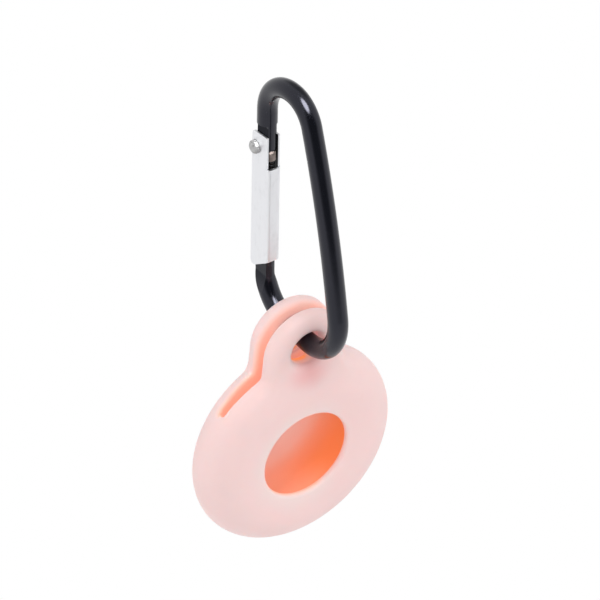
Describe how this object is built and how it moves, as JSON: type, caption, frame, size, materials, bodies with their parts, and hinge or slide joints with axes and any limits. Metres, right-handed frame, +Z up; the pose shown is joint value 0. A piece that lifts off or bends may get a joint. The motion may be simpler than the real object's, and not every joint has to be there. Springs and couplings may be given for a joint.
{
  "type": "tracker tag holder",
  "caption": "Soft silicone pouch with a round window for a coin-shaped tracker tag, its split ear hung on a small lopsided D carabiner with a sprung sheet-metal gate.",
  "frame": {"origin": "inside of the carabiner's top bend, on the rod's inner face, where a ring or a strap carries it", "axes": "+Z up, -Y out of the pouch's window, X along the gate's hinge, with the carabiner in the plane X = 0"},
  "size_m": [0.0424, 0.031, 0.1036],
  "materials": {
    "silicone": "matte pink silicone rubber",
    "black_rod": "black coated, satin gloss",
    "gate_sheet": "bare satin sheet",
    "rivet_steel": "bright, domed",
    "plunger_steel": "turned",
    "spring_wire": "drawn wire"
  },
  "bodies": {
    "carabiner": {"carabiner_frame": "black_rod", "hinge_rivet": "rivet_steel"},
    "gate": {"gate": "gate_sheet", "gate_spring": "spring_wire"},
    "plunger": {"spring_plunger": "plunger_steel"},
    "pouch": {"silicone_holder": "silicone"}
  },
  "joints": [
    {"name": "gate_hinge", "type": "hinge", "parent": "carabiner", "child": "gate", "pos_m": [0, 0.00951, -0.01655], "axis": [-1, 0, 0], "range_deg": [0, 28], "stiffness_Nm_per_rad": 0.008, "springref_deg": -68.75},
    {"name": "plunger_slide", "type": "slide", "parent": "gate", "child": "plunger", "axis": [0, -0.0663, -0.9978], "range_m": [0, 0.0017], "deforming": ["gate_spring"]},
    {"name": "pouch_swing", "type": "hinge", "parent": "carabiner", "child": "pouch", "pos_m": [0, -0.0053, -0.05195], "axis": [0, 1, 0], "range_deg": [-80, 80]}
  ],
  "couplings": [
    {"joint": "plunger_slide", "follows": "gate_hinge", "m_per_rad": 0.0033}
  ]
}
